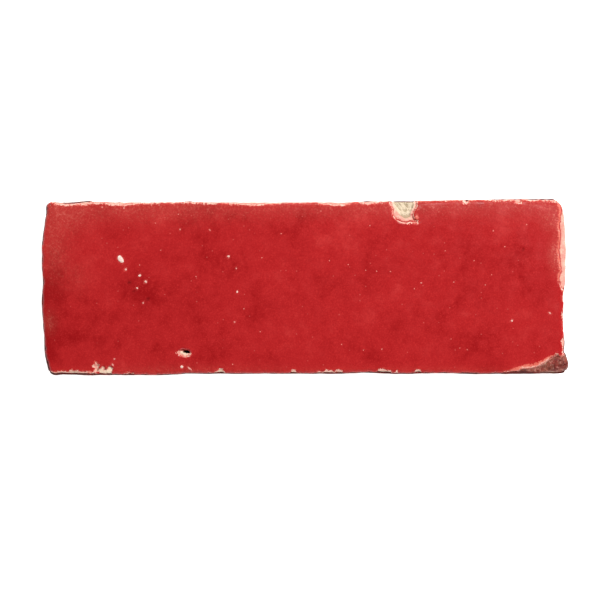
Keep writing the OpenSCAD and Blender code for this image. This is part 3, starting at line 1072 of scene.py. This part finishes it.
def near_grains(reach):
    """How close each point is to a grain, from 1 at its rim to 0 at reach away from it."""
    share = np.zeros(len(GRID.plan))
    for x, y, half_width, half_length, turn in GRAINS:
        plan = GRID.plan - (x, y)
        along = plan @ (math.cos(turn), math.sin(turn)) / half_length
        across = plan @ (-math.sin(turn), math.cos(turn)) / half_width
        away = (np.hypot(along, across) - 1) * half_width
        strength = smooth_step(half_width, 0.15 * MM, 0.4 * MM)
        share = np.maximum(share, strength * (1 - smooth_step(away, 0, reach)))
    return share


def dimples():
    total = np.zeros(len(GRID.plan))
    for x, y, radius in DIMPLES:
        away = np.linalg.norm(GRID.plan - (x * HALF_LENGTH, y * HALF_WIDTH), axis=1)
        total = np.maximum(total, 1 - smooth_step(away, 0, 1.6 * radius * MM))
    return total


def near_corner():
    """1 by the broken corner, falling to 0 a little way off."""
    low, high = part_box("corner_glaze")
    along = smooth_step(GRID.plan[:, 0], low.x - 8 * MM, low.x)
    return along * (1 - smooth_step(GRID.plan[:, 1], high.y, high.y + 3 * MM))


def coat_depths():
    """How far the slip and the whole coat stand off the body: less over the arris."""
    turn = smooth_step(GRID_DOWN, -0.3 * MM, ARRIS * math.pi / 2)
    whole = (SLIP_DEPTH + GLAZE_DEPTH) * (1 - turn) + FILM_DEPTH * 1.05 * turn
    slip = SLIP_DEPTH * (1 - 0.1 * turn)
    return slip, whole


def past_pit():
    """1 just beyond the pit, where its lip keeps its red."""
    from_pit = GRID.plan - PIT_PLACE
    beyond = smooth_step(from_pit @ (0.2, 0.98), 0, 0.3 * MM)
    return beyond * (np.linalg.norm(from_pit, axis=1) < 3 * MM)


def make_slip():
    slip, _ = coat_depths()
    ripple = 0.05 * MM * rough(PLAN3, 1.5 * MM, 61)
    rise = slip * (0.35 + 0.65 * smooth_step(SLIP_FIELD, 0, 0.5 * MM)) + ripple - 0.05 * MM
    outer = BODY + NORMALS * rise[:, None]
    inner = BODY - NORMALS * 0.1 * MM
    # Red stays on the slip on the far side of the pit, round the chip and up the right edge
    right_edge = per_side((0, 0.65, 0, 0)) * smooth_step(GRID.plan[:, 1], -3 * MM, MM)
    stain = smooth_step(GLAZE_FIELD, -0.6 * MM, 0) + 1.5 * past_pit() + right_edge
    stain += 0.6 * near_corner() + per_side((-0.3, 0, 0.22, 0)) + blobs(SLIP_STAIN)
    marks = {"stain": stain}
    piece = add_coat("slip_coat_brushed", "slip_coat", pale_slip(), GRID.upper_quads, SLIP_FIELD,
                     outer, inner, marks)


def make_face_glaze():
    slip, whole = coat_depths()
    body = smooth_step(GLAZE_FIELD, 0, 0.55 * MM)
    rise = slip + (whole - slip) * (0.3 + 0.7 * np.sqrt(body * (2 - body)))
    rise -= 0.06 * MM * near_grains(0.3 * MM) + 0.15 * MM * dimples()
    outer = BODY + NORMALS * rise[:, None]
    inner = BODY + NORMALS * (0.5 * slip)[:, None]
    # On the left, and in front between the chips, the glaze meets dark glaze and its rim is not pale
    strip = per_side((0, 1, 0, 0)) * smooth_step(GRID.plan[:, 1], MM, 2 * MM)
    red_to_rim = per_side((0, 0, 0, 0.4)) + 0.15 * WHOLE_FRONT + 0.08 * (near_corner() + strip)
    thin = 0.95 * near_corner() * smooth_step(GLAZE_FIELD, 2.2 * MM, 0.2 * MM)
    thin += 0.7 * strip * smooth_step(GLAZE_FIELD, 1.5 * MM, 0.3 * MM)
    line = smooth_step(GLAZE_FIELD, 0.35 * MM, 0.1 * MM)
    line *= smooth_step(round_noise(2 * MM, 97), -0.5, 0.1)
    marks = {
        "shade": 0.75 * strip * line,
        "edge": np.clip(GLAZE_FIELD / (3 * MM) + red_to_rim + 0.3 * past_pit(), 0, 1),
        "tone_and_shade": blobs(TONES_AND_SHADE),
        # Worn haze, and painted sheen along the front and back edges
        "haze_and_sheen": np.clip(blobs(WORN_AND_SHEEN), 0, 1),
        "halo": 0.8 * near_grains(0.25 * MM),
        "rim": np.clip(above(GLAZE_END) / (3 * MM), 0, 1),
        # The dimples carry painted shade
        "dimple_shade": dimples() * 0.8,
        "thin": blobs(THIN) + thin,
    }
    piece = add_coat("face_glaze_fired", "face_glaze", red_glaze(), GRID.upper_quads, GLAZE_FIELD,
                     outer, inner, marks)


def side_field(side):
    """Distance inside a side's glazed band and drips, more than zero where the glaze is."""
    axis = 0 if side in (FRONT, BACK) else 1
    segments = rim(SIDE_NODES[side], SIDE_FACING[side])[:, :, [axis, 2]]
    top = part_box(SIDE_NODES[side])[1].z
    mine = (by_column(GRID.side_of == side) > 0) & (BODY[:, 2] > FOOT)
    points = BODY[mine][:, [axis, 2]]
    points[:, 0] += 0.9 * MM * rough(BODY[mine], 5 * MM, 71)
    points[:, 1] += 0.7 * MM * rough(BODY[mine], 4 * MM, 74)
    points[:, 1] = np.minimum(points[:, 1], top - MM)
    # The band runs on to the very corner
    low, high = segments[:, :, 0].min() + MM, segments[:, :, 0].max() - MM
    points[:, 0] = np.clip(points[:, 0], low, high)
    away = closest(points, segments)
    field = np.full(len(GRID.plan), -MM)
    field[mine] = np.where(within(points, segments), away, -away)
    field = np.minimum(field, GRID_DOWN - FILM_START)
    # It meets the next side's band halfway between the two columns at the corner
    rings = field[GRID.ring_start:GRID.base_start].reshape(GRID.rings, -1)
    own = np.flatnonzero(GRID.side_of == side)
    count = len(GRID.columns)
    for last, beyond in ((own[0], own[0] - 1), (own[-1], own[-1] + 1)):
        rings[:, beyond % count] = -np.abs(rings[:, last])
    return field


def body_surface():
    """The clay's own surface: damaged, gritty, dragged along its sides and uneven below."""
    on_top = GRID_DOWN < ARRIS * math.pi / 2
    bare = smooth_step(-SLIP_FIELD, 0, 0.4 * MM)
    side = ~on_top & (np.arange(len(GRID.plan)) < GRID.base_start)
    rise = np.zeros(len(GRID.plan))
    grit = rough(BODY, 0.9 * MM, 81)
    rise[on_top] = (-0.05 * MM + bare * 0.1 * MM * grit)[on_top]
    drag = noise(BODY * (0.12, 0.12, 1), 0.8 * MM, 84)
    lumps = rough(BODY, 6 * MM, 86)
    side_rise = MM * (0.08 * grit + 0.06 * drag + 0.16 * lumps) - 0.12 * MM
    pits = np.maximum(rough(BODY, 2.5 * MM, 89) - 0.38, 0)
    rise[side] = (side_rise - 0.9 * MM * pits)[side]
    rise[side] = np.minimum(rise[side], 0.02 * MM)
    points = BODY + NORMALS * rise[:, None]
    points[:, 2] -= DAMAGE
    foot = slice(GRID.base_start, None)
    uneven = 0.12 * MM * rough(PLAN3[foot], 7 * MM, 91) + 0.05 * MM * rough(PLAN3[foot], 1.4 * MM, 94)
    points[foot, 2] = uneven + 0.08 * MM
    # Nothing goes below the plane that the tile is laid on
    points[:, 2] = np.maximum(points[:, 2], 0)
    return points


def make_body(points, films):
    stain = smooth_step(films, -1.2 * MM, -0.1 * MM) * 0.5
    # Painted shade at the bottom of the deep pit
    hollow = smooth_step(DAMAGE, MM, 1.4 * MM)
    fresh = smooth_step(DAMAGE, 0, 0.1 * MM)
    marks = {"stain": stain, "hollow": hollow, "fresh": fresh}
    piece = add_mesh("clay_body_fired", points, [GRID.quads, GRID.base, GRID.joins], marks,
                     fired_clay(), "clay_biscuit")


# How far in from its rim the dark glaze is full
BEAD_REACH = 0.9 * MM


def bead(field, depth, reach):
    """The height of a run of glaze that is full inside and rounds off at its rim."""
    body = np.clip(field / reach, 0, 1)
    return depth * (0.25 + 0.75 * np.sqrt(body * (2 - body)))


def make_side_glaze(side, field):
    name = SIDE_NODES[side]
    swell = 0.06 * MM * rough(BODY, 3 * MM, 101)
    rise = bead(field, DARK_RISE, BEAD_REACH) + swell
    # It is thinner where the rim above it hides it
    rise = np.minimum(rise, FILM_DEPTH * (0.6 + 0.5 * smooth_step(DARK_RIM, 0, 0.3 * MM)))
    outer = BODY + NORMALS * rise[:, None]
    inner = BODY - NORMALS * 0.4 * MM
    marks = {
        "edge": np.clip(field / (3 * MM), 0, 1),
        "foot": smooth_step(GRID_DOWN - FILM_START, 0.5 * MM, 1.5 * MM),
    }
    thin, thick = (0.19, 0.022, 0.017), (0.07, 0.006, 0.005)
    material = dark_glaze("dark_glaze_" + name, thin, thick, 0.06 * MM, 0)
    piece = add_coat(name + "_run", name, material, GRID.ring_quads, field, outer, inner, marks)


def corner_field():
    """Distance inside the thin glaze on the broken corner: off the slip, above the side glaze."""
    low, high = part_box("corner_glaze")
    near = (GRID.plan[:, 0] > low.x - 3 * MM) & (GRID.plan[:, 1] < high.y + 3 * MM)
    off_slip = -SLIP_LOSS - 0.05 * MM
    holes = 0.55 * MM + 0.9 * MM * rough(BODY, 1.3 * MM, 111)
    field = np.minimum(np.minimum(off_slip, above(FILM_START + 0.1 * MM)), holes)
    return np.where(near, field, -MM)


def make_corner_glaze(body):
    field = corner_field()
    normals = vertex_normals(body, GRID.quads)
    outer = body + normals * bead(field, 0.25 * MM, 0.5 * MM)[:, None]
    inner = body - normals * 0.15 * MM
    marks = {"edge": np.clip(field / (3 * MM), 0, 1), "foot": np.ones(len(field))}
    thin, thick = (0.33, 0.05, 0.038), (0.09, 0.007, 0.006)
    material = dark_glaze("dark_glaze_corner", thin, thick, 0.35 * MM, 0.6)
    piece = add_coat("corner_glaze_thin", "corner_glaze", material, GRID.upper_quads, field,
                     outer, inner, marks, least=8)


def face_height(places):
    """The height of the glazed face over points in plan, from the nearest grid points."""
    _, whole = coat_depths()
    cap = GRID.on_cap
    heights = (BODY[:, 2] + whole)[cap]
    plan = GRID.plan[cap]
    return np.array([heights[np.argmin(((plan - p) ** 2).sum(axis=1))] for p in places])


def make_grains():
    """Lumps of lime and grit that stand in the face, one closed solid for each."""
    seeded = np.random.default_rng(121)
    bm = bmesh.new()
    bmesh.ops.create_icosphere(bm, subdivisions=3, radius=1)
    ball = np.array([v.co for v in bm.verts])
    ball_faces = np.array([[v.index for v in f.verts] for f in bm.faces])
    bm.free()
    points, faces, cores = [], [], []
    for (x, y, half_width, half_length, turn), top in zip(GRAINS, face_height(GRAIN_PLACES)):
        lump = ball * (1 + 0.28 * noise(ball + 10 * seeded.random(3), 0.7, 122))[:, None]
        lump = lump * (half_length, half_width, 0.5 * half_width)
        along = (math.cos(turn), math.sin(turn), 0)
        across = (-math.sin(turn), math.cos(turn), 0)
        sunk = (x, y, top - 0.05 * MM - 0.1 * half_width)
        points.append(lump @ np.array([along, across, (0, 0, 1)]) + sunk)
        faces.append(ball_faces + len(ball) * len(faces))
        cores.append(np.full(len(ball), smooth_step(half_width, 0.2 * MM, 0.4 * MM)))
    piece = add_mesh("lime_grains_set", np.vstack(points), [np.vstack(faces)],
                     {"core": np.concatenate(cores)}, lime(), "lime_grains")


# ---------------------------------------------------------------- stage, light and camera


def pale_floor():
    paint = Paint("pale_floor")
    paint.colour = paint.blend(paint.cloud(60 * MM, 2, 51.0), (0.86, 0.86, 0.86), (0.9, 0.9, 0.9))
    return paint.finish(
        Roughness=0.9, Emission_Color=(1, 1, 1), Emission_Strength=0.85
    )


def make_floor():
    half = 40 * HALF_LENGTH
    mesh = bpy.data.meshes.new("floor")
    corners = [(half * x, half * y, 0) for x, y in CORNER_SIGNS]
    mesh.from_pydata(corners, [], [(0, 1, 2, 3)])
    mesh.materials.append(pale_floor())
    floor = bpy.data.objects.new("floor", mesh)
    bpy.context.scene.collection.objects.link(floor)


def make_world():
    """A studio dome: white low down all round, and dark from there up, so the glaze keeps its red."""
    world = bpy.data.worlds.new("studio")
    bpy.context.scene.world = world
    world.use_nodes = True
    tree = world.node_tree
    place = tree.nodes.new("ShaderNodeTexCoord")
    split = tree.nodes.new("ShaderNodeSeparateXYZ")
    fade = tree.nodes.new("ShaderNodeMapRange")
    fade.interpolation_type = "SMOOTHSTEP"
    for key, value in (("From Min", 0.06), ("From Max", 0.35), ("To Min", 1.0), ("To Max", 0.02)):
        fade.inputs[key].default_value = value
    background = tree.nodes["Background"]
    background.inputs["Color"].default_value = (0.95, 0.95, 0.95, 1)
    tree.links.new(place.outputs["Generated"], split.inputs[0])
    tree.links.new(split.outputs["Z"], fade.inputs["Value"])
    tree.links.new(fade.outputs["Result"], background.inputs["Strength"])


def add_light(name, place, size, power, aim=(0, 0, 0)):
    light = bpy.data.lights.new(name, "AREA")
    light.shape = "RECTANGLE"
    light.size, light.size_y = size
    light.energy = power
    lamp = bpy.data.objects.new(name, light)
    lamp.location = place
    lamp.rotation_euler = (Vector(aim) - Vector(place)).to_track_quat("-Z", "Y").to_euler()
    bpy.context.scene.collection.objects.link(lamp)


def make_lights():
    """A big softbox up on the right and behind, and wide dim ones low down on the other sides."""
    add_light("key_softbox", (0.3, 0.4, 0.68), (0.5, 0.4), 8.6)
    add_light("left_wall", (-1.1, -0.2, 0.4), (1.4, 0.6), 3.2)
    add_light("front_wall", (0.1, -1.1, 0.4), (1.6, 0.6), 5.0)
    add_light("back_window", (-0.55, 0.7, 0.42), (0.35, 0.25), 0.2)


# The view is this many tile lengths wide, and its middle this far off as shares of half the tile
VIEW_LENGTHS = 1.139
VIEW_MIDDLE = (-0.0179, -0.148)


def make_camera():
    """Straight above the glazed face, as the tile is seen, with a long lens."""
    seen_width = VIEW_LENGTHS * 2 * HALF_LENGTH
    lens, sensor = 100, 36
    camera = bpy.data.cameras.new("camera")
    camera.lens = lens
    camera.sensor_width = sensor
    camera.clip_start = 0.01
    camera.clip_end = 20
    eye = bpy.data.objects.new("camera", camera)
    x, y = VIEW_MIDDLE
    eye.location = (x * HALF_LENGTH, y * HALF_WIDTH, GLAZE_TOP + seen_width * lens / sensor)
    bpy.context.scene.collection.objects.link(eye)
    bpy.context.scene.camera = eye
    bpy.context.scene.view_settings.view_transform = "Standard"


def build():
    body = body_surface()
    sides = [side_field(side) for side in (FRONT, RIGHT, BACK, LEFT)]
    make_body(body, np.max(sides, axis=0))
    make_slip()
    make_face_glaze()
    make_corner_glaze(body)
    for side, field in enumerate(sides):
        make_side_glaze(side, field)
    make_grains()
    make_floor()
    make_world()
    make_lights()
    make_camera()


build()
